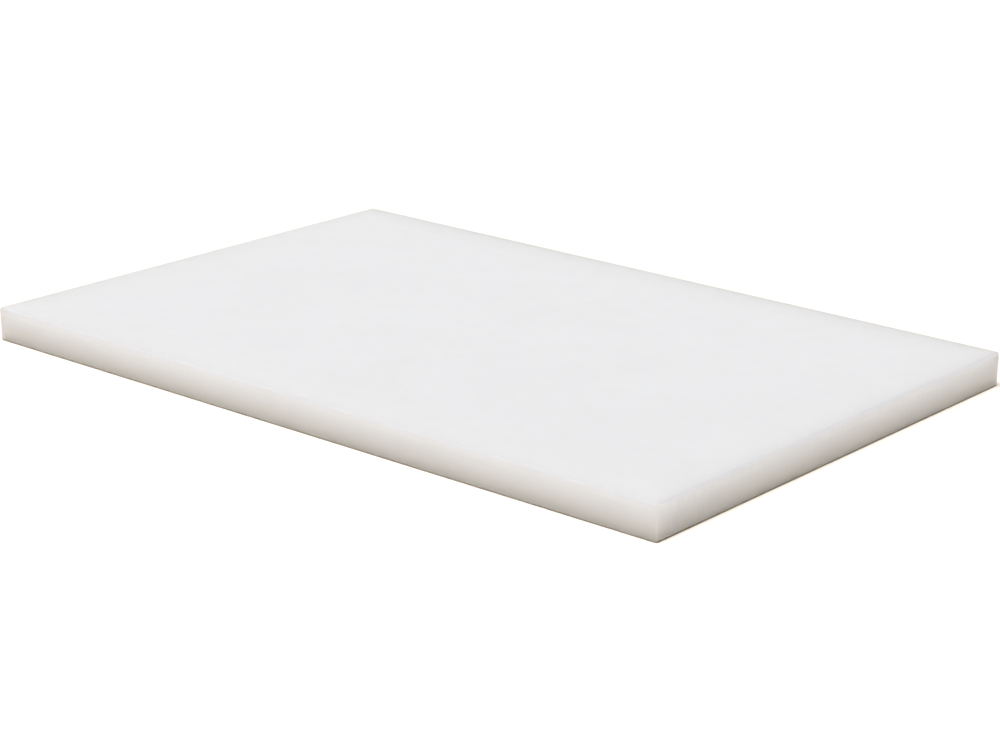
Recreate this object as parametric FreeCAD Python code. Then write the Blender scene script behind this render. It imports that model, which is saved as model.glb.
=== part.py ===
"""Cutting board: one slab of white high-density polyethylene, 18 x 12 x 3/4 in.

The board is sawn square from pressed sheet, and then every edge is eased to the same
small radius, so it is safe to handle and can be used either way up. It has no handle,
groove, feet or insert, so it is a single solid.

Frame: millimetres, origin at the centre of the underside, +X along the length,
+Y across the width and +Z up.
"""

import FreeCAD, Part
import os

INCH = 25.4

# Driving dimensions
BOARD_LENGTH = 18 * INCH
BOARD_WIDTH = 12 * INCH
BOARD_THICKNESS = 0.75 * INCH
EASED_RADIUS = INCH / 16  # on all twelve edges

PARTS_FOLDER = "parts"


def sawn_blank():
    """The square-edged piece as it leaves the panel saw."""
    corner = FreeCAD.Vector(-BOARD_LENGTH / 2, -BOARD_WIDTH / 2, 0)
    return Part.makeBox(BOARD_LENGTH, BOARD_WIDTH, BOARD_THICKNESS, corner)


def board():
    """The blank with its edges eased, which leaves an eighth of a ball at each corner."""
    blank = sawn_blank()
    return blank.makeFillet(EASED_RADIUS, blank.Edges)


def export(name, shape):
    """Writes one sub-part, after making sure that it is one sound solid."""
    if not shape.isValid() or len(shape.Solids) != 1:
        raise ValueError(f"{name} is not one valid solid")
    path = os.path.join(PARTS_FOLDER, name + ".step")
    shape.Solids[0].exportStep(path)
    size = shape.BoundBox
    print(
        f"{name}: {size.XLength:.2f} x {size.YLength:.2f} x {size.ZLength:.2f} mm,"
        f" {shape.Volume / 1000:.1f} cm3"
    )


def main():
    os.makedirs(PARTS_FOLDER, exist_ok=True)
    export("board", board())


main()
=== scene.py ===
"""White polyethylene cutting board in soft studio light.

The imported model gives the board's box. This script puts a fine mesh in its place, with
eased edges and the marks that the panel saw leaves on the four sides, and gives it the
look of slightly translucent plastic. Units are metres, in the part's own frame: the
origin is at the centre of the underside, +X along the length and +Z up.
"""

import math

import bmesh
import bpy
from mathutils import Euler, Matrix, Vector, noise


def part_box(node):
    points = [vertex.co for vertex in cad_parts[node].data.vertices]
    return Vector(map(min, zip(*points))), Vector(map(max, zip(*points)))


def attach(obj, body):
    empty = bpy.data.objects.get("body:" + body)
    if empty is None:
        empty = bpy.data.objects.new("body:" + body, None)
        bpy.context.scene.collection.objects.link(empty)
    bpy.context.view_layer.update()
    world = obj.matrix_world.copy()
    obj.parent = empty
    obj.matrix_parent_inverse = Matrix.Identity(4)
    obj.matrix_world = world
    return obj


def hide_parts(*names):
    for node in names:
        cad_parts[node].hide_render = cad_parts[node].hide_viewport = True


MM = 0.001
INCH = 25.4 * MM
QUARTER_TURN = math.pi / 2

# The board's edges and the mesh that carries them
EASED_RADIUS = INCH / 16
EDGE_STEPS = 6  # faces round a quarter of an eased edge
SIDE_ROWS = 10  # rows of faces up the flat of a side
HALVINGS = 5  # rings on a flat face, each with half the columns of the ring outside it
LENGTH_CELLS = 27  # coarse cells along a flat face, inside the rings
WIDTH_CELLS = 18
RING_STEP = 1.5  # width of a ring, in cells of its outer edge
WELD_DISTANCE = 0.001 * MM

# Saw marks: shallow uneven ridges on the four sides, leaning a little
SAW_PITCH = 2.1 * MM
SAW_DEPTH = 0.05 * MM
SAW_LEAN = math.tan(math.radians(9))
SAW_LAYERS = 3  # layers of ever finer ridges, one over the other
SAW_LAYER_RATIO = 2.0  # how much finer each layer is than the last
SAW_LAYER_FALL = 0.8  # how fast the finer layers get weaker
SAW_MIDDLE = 0.5  # how strong the marks are where the noise is zero
SAW_CONTRAST = 0.9  # how much the noise changes them
SAW_PATCH = 55 * MM  # size of the stretches that are marked more or less
SAW_LEAST = 0.2  # how strong the marks are in the least marked stretches
SAW_FADE = 5 * MM  # distance from a corner over which the marks set in
SAW_SHARE = (0.4, 1.0)  # how strong the marks are on the long and the short sides
SAW_ATTRIBUTE = "saw_mark"
RIDGE_ROW = (0.5, 0.5)  # the lines through the noise that the ridges and patches follow
PATCH_ROW = (7.5, 0.5)

# Painted edge shade: near an upper edge, and near the edges of the underside, the colour is painted
# a little greyer and cooler. This paints the light that the translucent plastic loses through its
# edges, and it tones down the bright rims. The lower eased edges, which are in the shade, have none
# of it.
FLAT_EDGE_SHADE = 0.75  # on a flat face, beside the eased edge
EDGE_SHADE_FADE = 9 * MM  # over a flat face
EDGE_SHADE_DROP = 4.5 * MM  # down a side, from its upper eased edge, which has 1
EDGE_SHADE_ATTRIBUTE = "painted_edge_shade"

# Painted warm shade: the sides are painted warmer and a little darker towards the bottom, a painted
# shade and warm bounce light
WARM_SHADE_HEIGHT = 14 * MM
WARM_SHADE_ATTRIBUTE = "warm_shade"
ATTRIBUTES = (SAW_ATTRIBUTE, EDGE_SHADE_ATTRIBUTE, WARM_SHADE_ATTRIBUTE)

# Camera. Here and for the lights, angles are in degrees, and azimuths go anticlockwise from
# the front, seen from above.
CAMERA_AZIMUTH = 39.977
CAMERA_ELEVATION = 18.079
CAMERA_ROLL = 0.698
CAMERA_DISTANCE = 1.33003
CAMERA_TARGET = (0.03788, -0.03548)  # the point that it is aimed at, seen from above
SENSOR_WIDTH = 36.0  # this and the lens are in millimetres, as Blender has them
LENS = 90.857

# Room
FLOOR_SIZE = 40.0
FLOOR_GAP = 0.02 * MM  # so that the floor and the underside share no plane
FLOOR_COLOR = (0.955, 0.884, 0.8)
SURROUND_COLOR = (1.0, 1.0, 1.0)  # of what the camera and the gloss see all round
SURROUND_STRENGTH = 1.0
LIGHT_COLOR = (0.951, 0.958, 0.987)
OVERHEAD_STRENGTH = 4.08
OVERHEAD_AZIMUTH = 5
OVERHEAD_ELEVATION = 78
OVERHEAD_SPREAD = 30  # how wide the light is, seen from the board
SOFTBOX_POWER = 0.85
SOFTBOX_SIZE = 0.8
SOFTBOX_DISTANCE = 1.3
SOFTBOX_AZIMUTH = 0
SOFTBOX_ELEVATION = 25

# Plastic
PLASTIC_COLOR = (0.738, 0.723, 0.7)
CLOUD_COLOR = (0.724, 0.709, 0.686)
# painted shade and warm bounce light, low on the sides
WARM_SHADE_COLOR = (0.742, 0.702, 0.603)
# painted shade near the edges: greyer and cooler
EDGE_SHADE_COLOR = (0.6, 0.595, 0.587)
# painted shade in the saw grooves: darker the deeper the groove
GROOVE_SHADE_COLOR = (0.698, 0.686, 0.657)
SPECK_COLOR = (0.30, 0.28, 0.25)
CLOUD_SIZE = 60 * MM
CLOUD_DETAIL = 3
SPECK_SPACING = 110 * MM
SPECK_RADIUS = 0.3 * MM
GRAIN_SIZE = 0.9 * MM
GRAIN_DETAIL = 2
GRAIN_DEPTH = 0.012 * MM
ROUGHNESS = (0.38, 0.52)
SMEAR_SIZE = 12 * MM  # of the smears that make the gloss uneven
SMEAR_DETAIL = 4
NOISE_RANGE = (0.3, 0.7)  # where most of a noise texture's values lie
SCATTER_RADIUS = (74 * MM, 71 * MM, 67 * MM)
SCATTER_WEIGHT = 0.9
PLASTIC_IOR = 1.54


# ---- Board mesh ----

def corners(half):
    """The corners of a rectangle, anticlockwise from the front left."""
    return [Vector((x * half.x, y * half.y)) for x, y in ((-1, -1), (1, -1), (1, 1), (-1, 1))]


def columns(core_half):
    """The columns of vertices round the board, anticlockwise from above.

    Each is (point on the core rectangle, outward direction, distance round the board,
    how much the saw marks it). The core rectangle is the outline less the eased radius.
    """
    core = corners(core_half)
    cells = (LENGTH_CELLS * 2**HALVINGS, WIDTH_CELLS * 2**HALVINGS)
    found = []
    distance = 0.0
    for side in range(4):
        start = core[side]
        end = core[(side + 1) % 4]
        length = (end - start).length
        facing = (side - 1) * QUARTER_TURN
        for i in range(cells[side % 2] + 1):
            along = length * i / cells[side % 2]
            share = SAW_SHARE[side % 2] * min(1.0, along / SAW_FADE, (length - along) / SAW_FADE)
            outward = Vector((math.cos(facing), math.sin(facing)))
            found.append((start.lerp(end, along / length), outward, distance + along, share))
        distance += length
        for i in range(1, EDGE_STEPS):
            angle = facing + QUARTER_TURN * i / EDGE_STEPS
            found.append((end, Vector((math.cos(angle), math.sin(angle))), distance, 0.0))
    return found


def side_rows(thickness):
    """The rows of vertices up a side, from the bottom.

    Each is (distance out from the core rectangle, height, saw marks, painted edge shade).
    """
    turns = [QUARTER_TURN * i / EDGE_STEPS for i in range(EDGE_STEPS + 1)]
    eased = [(EASED_RADIUS * math.cos(turn), EASED_RADIUS * (1 - math.sin(turn))) for turn in turns]
    flat = thickness - 2 * EASED_RADIUS
    rows = [(out, rise, 0.0, 0.0) for out, rise in reversed(eased)]
    # the painted edge shade fades down a side from its upper eased edge
    for i in range(1, SIDE_ROWS):
        climb = flat * i / SIDE_ROWS
        rows.append((EASED_RADIUS, EASED_RADIUS + climb, 1.0, math.exp((climb - flat) / EDGE_SHADE_DROP)))
    rows += [(out, thickness - rise, 0.0, 1.0) for out, rise in eased]
    return rows


def limited(value, low, high):
    """The value, or the end of the range that it lies beyond."""
    return min(high, max(low, value))


def saw_mark(distance):
    """How deep the saw bit at this distance round the board, from 0 to 1."""
    along_ridges = Vector((distance / SAW_PITCH, *RIDGE_ROW))
    ridge = noise.fractal(along_ridges, SAW_LAYER_FALL, SAW_LAYER_RATIO, SAW_LAYERS)
    patch = noise.noise(Vector((distance / SAW_PATCH, *PATCH_ROW)))
    depth = limited(SAW_MIDDLE + SAW_CONTRAST * ridge, 0.0, 1.0)
    return depth * limited(SAW_MIDDLE + patch, SAW_LEAST, 1.0)


def add_vertex(bm, place, mark, edge_shade, warm_shade):
    """A vertex that carries its saw marks, painted edge shade and painted warm shade."""
    vertex = bm.verts.new(place)
    for name, value in zip(ATTRIBUTES, (mark, edge_shade, warm_shade)):
        vertex[bm.verts.layers.float[name]] = value
    return vertex


def build_sides(bm, core_half, thickness):
    """Makes the four sides and their eased edges."""
    round_board = columns(core_half)
    rings = []
    for out, height, marked, edge_shade in side_rows(thickness):
        # painted warm shade: full at the bottom of a side, gone from a set height up
        warm_shade = limited(1 - height / WARM_SHADE_HEIGHT, 0.0, 1.0)
        ring = []
        for core, outward, distance, share in round_board:
            mark = marked * share * saw_mark(distance + height * SAW_LEAN)
            place = core + outward * (out - mark * SAW_DEPTH)
            ring.append(add_vertex(bm, (place.x, place.y, height), mark, edge_shade, warm_shade))
        rings.append(ring)
    for lower, upper in zip(rings, rings[1:]):
        for i, low_here in enumerate(lower):
            j = (i + 1) % len(lower)
            bm.faces.new((low_here, lower[j], upper[j], upper[i]))


def flat_vertex(bm, x, y, height, core_half):
    """A vertex of a flat face, with the painted edge shade of its distance from the nearest side."""
    inset = min(core_half.x - abs(x), core_half.y - abs(y))
    # painted edge shade, fading inwards from the eased edge
    return add_vertex(bm, (x, y, height), 0.0, FLAT_EDGE_SHADE * math.exp(-inset / EDGE_SHADE_FADE), 0.0)


def flat_ring(bm, half, counts, height, core_half):
    """A rectangle of vertices, anticlockwise from the front left corner."""
    ends = corners(half)
    ring = []
    for side in range(4):
        for i in range(counts[side % 2]):
            place = ends[side].lerp(ends[(side + 1) % 4], i / counts[side % 2])
            ring.append(flat_vertex(bm, place.x, place.y, height, core_half))
    return ring


def add_flat_face(bm, vertices, upward):
    """Makes a face that looks up or down, from vertices that go anticlockwise seen from above."""
    bm.faces.new(vertices if upward else vertices[::-1])


def join_halved(bm, outer, inner, upward):
    """Three triangles for each pair of outer edges and the one inner edge beside them."""
    for i, here in enumerate(inner):
        there = inner[(i + 1) % len(inner)]
        first = outer[2 * i]
        middle = outer[2 * i + 1]
        last = outer[(2 * i + 2) % len(outer)]
        for face in ((first, middle, here), (middle, there, here), (middle, last, there)):
            add_flat_face(bm, face, upward)


def fill_grid(bm, half, height, upward, core_half):
    """A grid of the coarse cells, which is welded to the innermost ring afterwards."""
    xs = [half.x * (2 * i / LENGTH_CELLS - 1) for i in range(LENGTH_CELLS + 1)]
    ys = [half.y * (2 * j / WIDTH_CELLS - 1) for j in range(WIDTH_CELLS + 1)]
    grid = [[flat_vertex(bm, x, y, height, core_half) for x in xs] for y in ys]
    for lower, upper in zip(grid, grid[1:]):
        for i in range(LENGTH_CELLS):
            add_flat_face(bm, (lower[i], lower[i + 1], upper[i + 1], upper[i]), upward)


def build_flat(bm, core_half, height, upward):
    """A flat face from the core rectangle inwards, with ever larger cells."""
    half = core_half
    scale = 2**HALVINGS
    outer = flat_ring(bm, half, (LENGTH_CELLS * scale, WIDTH_CELLS * scale), height, core_half)
    for _ in range(HALVINGS):
        cell = 2 * half.x / (LENGTH_CELLS * scale)
        scale //= 2
        half = half - Vector((RING_STEP * cell, RING_STEP * cell))
        inner = flat_ring(bm, half, (LENGTH_CELLS * scale, WIDTH_CELLS * scale), height, core_half)
        join_halved(bm, outer, inner, upward)
        outer = inner
    fill_grid(bm, half, height, upward, core_half)


def build_board(low, high):
    """The whole board, as one closed mesh inside its CAD box."""
    size = high - low
    core_half = Vector((size.x / 2 - EASED_RADIUS, size.y / 2 - EASED_RADIUS))
    bm = bmesh.new()
    for name in ATTRIBUTES:
        bm.verts.layers.float.new(name)
    build_sides(bm, core_half, size.z)
    build_flat(bm, core_half, 0.0, False)
    build_flat(bm, core_half, size.z, True)
    bmesh.ops.remove_doubles(bm, verts=bm.verts, dist=WELD_DISTANCE)
    for face in bm.faces:
        face.smooth = True
    mesh = bpy.data.meshes.new("cutting_board")
    bm.to_mesh(mesh)
    bm.free()
    mesh.transform(Matrix.Translation(((low.x + high.x) / 2, (low.y + high.y) / 2, low.z)))
    board = bpy.data.objects.new("cutting_board", mesh)
    bpy.context.scene.collection.objects.link(board)
    return board


# ---- Material ----

def noise_texture(tree, place, size, detail):
    """The socket of a noise with lumps of this size."""
    texture = tree.nodes.new("ShaderNodeTexNoise")
    texture.inputs["Scale"].default_value = 1 / size
    texture.inputs["Detail"].default_value = detail
    tree.links.new(place, texture.inputs["Vector"])
    return texture.outputs["Fac"]


def spread_out(tree, value, low, high):
    """Stretches the middle of a noise over this range."""
    stretch = tree.nodes.new("ShaderNodeMapRange")
    stretch.inputs["From Min"].default_value = NOISE_RANGE[0]
    stretch.inputs["From Max"].default_value = NOISE_RANGE[1]
    stretch.inputs["To Min"].default_value = low
    stretch.inputs["To Max"].default_value = high
    tree.links.new(value, stretch.inputs["Value"])
    return stretch.outputs["Result"]


def blend(tree, factor, first, second):
    """A mix of two colours. The first may be a socket."""
    mix = tree.nodes.new("ShaderNodeMix")
    mix.data_type = "RGBA"
    tree.links.new(factor, mix.inputs["Factor"])
    if isinstance(first, bpy.types.NodeSocket):
        tree.links.new(first, mix.inputs["A"])
    else:
        mix.inputs["A"].default_value = (*first, 1.0)
    mix.inputs["B"].default_value = (*second, 1.0)
    return mix.outputs["Result"]


def attribute(tree, name):
    """The socket of a value that the mesh carries."""
    node = tree.nodes.new("ShaderNodeAttribute")
    node.attribute_name = name
    return node.outputs["Fac"]


def specks(tree, place):
    """1 in a few tiny round specks, and 0 elsewhere."""
    cells = tree.nodes.new("ShaderNodeTexVoronoi")
    cells.inputs["Scale"].default_value = 1 / SPECK_SPACING
    tree.links.new(place, cells.inputs["Vector"])
    inside = tree.nodes.new("ShaderNodeMath")
    inside.operation = "LESS_THAN"
    inside.inputs[1].default_value = SPECK_RADIUS / SPECK_SPACING
    tree.links.new(cells.outputs["Distance"], inside.inputs[0])
    return inside.outputs["Value"]


def plastic_material():
    """Natural white polyethylene: milky and a little cloudy, with a fine grain.

    The colour also carries painted shade: greyer near the edges, warmer low on the sides and
    darker in the saw grooves.
    """
    material = bpy.data.materials.new("white_polyethylene")
    material.use_nodes = True
    tree = material.node_tree
    shader = tree.nodes["Principled BSDF"]
    shader.inputs["IOR"].default_value = PLASTIC_IOR
    shader.inputs["Subsurface Weight"].default_value = SCATTER_WEIGHT
    shader.inputs["Subsurface Radius"].default_value = SCATTER_RADIUS
    shader.inputs["Subsurface Scale"].default_value = 1.0
    place = tree.nodes.new("ShaderNodeTexCoord").outputs["Object"]
    cloud = spread_out(tree, noise_texture(tree, place, CLOUD_SIZE, CLOUD_DETAIL), 0, 1)
    colour = blend(tree, cloud, PLASTIC_COLOR, CLOUD_COLOR)
    # painted shade and warm bounce light, low on the sides
    colour = blend(tree, attribute(tree, WARM_SHADE_ATTRIBUTE), colour, WARM_SHADE_COLOR)
    # painted shade near the edges: greyer and cooler
    colour = blend(tree, attribute(tree, EDGE_SHADE_ATTRIBUTE), colour, EDGE_SHADE_COLOR)
    # painted shade in the saw grooves, by their depth
    colour = blend(tree, attribute(tree, SAW_ATTRIBUTE), colour, GROOVE_SHADE_COLOR)
    colour = blend(tree, specks(tree, place), colour, SPECK_COLOR)
    tree.links.new(colour, shader.inputs["Base Color"])
    smear = spread_out(tree, noise_texture(tree, place, SMEAR_SIZE, SMEAR_DETAIL), *ROUGHNESS)
    tree.links.new(smear, shader.inputs["Roughness"])
    grain = tree.nodes.new("ShaderNodeBump")
    grain.inputs["Distance"].default_value = GRAIN_DEPTH
    tree.links.new(noise_texture(tree, place, GRAIN_SIZE, GRAIN_DETAIL), grain.inputs["Height"])
    tree.links.new(grain.outputs["Normal"], shader.inputs["Normal"])
    return material


# ---- Room ----

def add_floor():
    """A plain pale floor, just under the board."""
    mesh = bpy.data.meshes.new("floor")
    outline = [(corner.x, corner.y, 0.0) for corner in corners(Vector((FLOOR_SIZE, FLOOR_SIZE)) / 2)]
    mesh.from_pydata(outline, [], [(0, 1, 2, 3)])
    floor = bpy.data.objects.new("floor", mesh)
    floor.location.z = -FLOOR_GAP
    material = bpy.data.materials.new("floor")
    material.use_nodes = True
    shader = material.node_tree.nodes["Principled BSDF"]
    shader.inputs["Base Color"].default_value = (*FLOOR_COLOR, 1.0)
    shader.inputs["Roughness"].default_value = 1.0
    shader.inputs["Specular IOR Level"].default_value = 0.0
    mesh.materials.append(material)
    bpy.context.scene.collection.objects.link(floor)


def towards(azimuth, elevation):
    """The rotation of a camera or light that looks at the board from this side."""
    return Euler((math.radians(90 - elevation), 0.0, math.radians(azimuth)))


def add_camera():
    """The camera, aimed at a point at half the board's height."""
    low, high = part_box("board")
    target = Vector((*CAMERA_TARGET, (low.z + high.z) / 2))
    turn = towards(CAMERA_AZIMUTH, CAMERA_ELEVATION).to_matrix()
    data = bpy.data.cameras.new("camera")
    data.sensor_width = SENSOR_WIDTH
    data.lens = LENS
    camera = bpy.data.objects.new("camera", data)
    camera.location = target + turn @ Vector((0, 0, CAMERA_DISTANCE))
    camera.rotation_euler = (turn @ Matrix.Rotation(math.radians(CAMERA_ROLL), 3, "Z")).to_euler()
    bpy.context.scene.collection.objects.link(camera)
    bpy.context.scene.camera = camera


def add_light(name, kind, azimuth, elevation, distance=1.0):
    """A light that shines on the board from this side. A sun's distance makes no difference."""
    data = bpy.data.lights.new(name, kind)
    data.color = LIGHT_COLOR
    light = bpy.data.objects.new(name, data)
    turn = towards(azimuth, elevation)
    light.rotation_euler = turn
    light.location = turn.to_matrix() @ Vector((0, 0, distance))
    light.visible_glossy = False
    bpy.context.scene.collection.objects.link(light)
    return data


def add_lights():
    """A broad light overhead, a softbox in front, and a white surround.

    The surround is only seen and reflected: it doesn't light the board.
    """
    overhead = add_light("overhead", "SUN", OVERHEAD_AZIMUTH, OVERHEAD_ELEVATION)
    overhead.energy = OVERHEAD_STRENGTH
    overhead.angle = math.radians(OVERHEAD_SPREAD)
    softbox = add_light("softbox", "AREA", SOFTBOX_AZIMUTH, SOFTBOX_ELEVATION, SOFTBOX_DISTANCE)
    softbox.energy = SOFTBOX_POWER
    softbox.size = SOFTBOX_SIZE
    world = bpy.data.worlds.new("world")
    world.use_nodes = True
    surround = world.node_tree.nodes["Background"]
    surround.inputs["Color"].default_value = (*SURROUND_COLOR, 1.0)
    surround.inputs["Strength"].default_value = SURROUND_STRENGTH
    bpy.context.scene.world = world
    world.cycles_visibility.diffuse = False
    bpy.context.scene.view_settings.view_transform = "Standard"


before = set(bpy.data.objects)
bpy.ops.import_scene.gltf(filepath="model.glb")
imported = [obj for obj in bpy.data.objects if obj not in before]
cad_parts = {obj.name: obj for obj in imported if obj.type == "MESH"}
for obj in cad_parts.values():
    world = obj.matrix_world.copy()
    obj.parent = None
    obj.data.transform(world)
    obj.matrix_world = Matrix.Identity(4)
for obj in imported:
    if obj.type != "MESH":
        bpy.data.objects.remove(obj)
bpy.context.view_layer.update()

add_camera()
add_floor()
add_lights()

board = build_board(*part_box("board"))
board.data.materials.append(plastic_material())
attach(board, "root")
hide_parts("board")
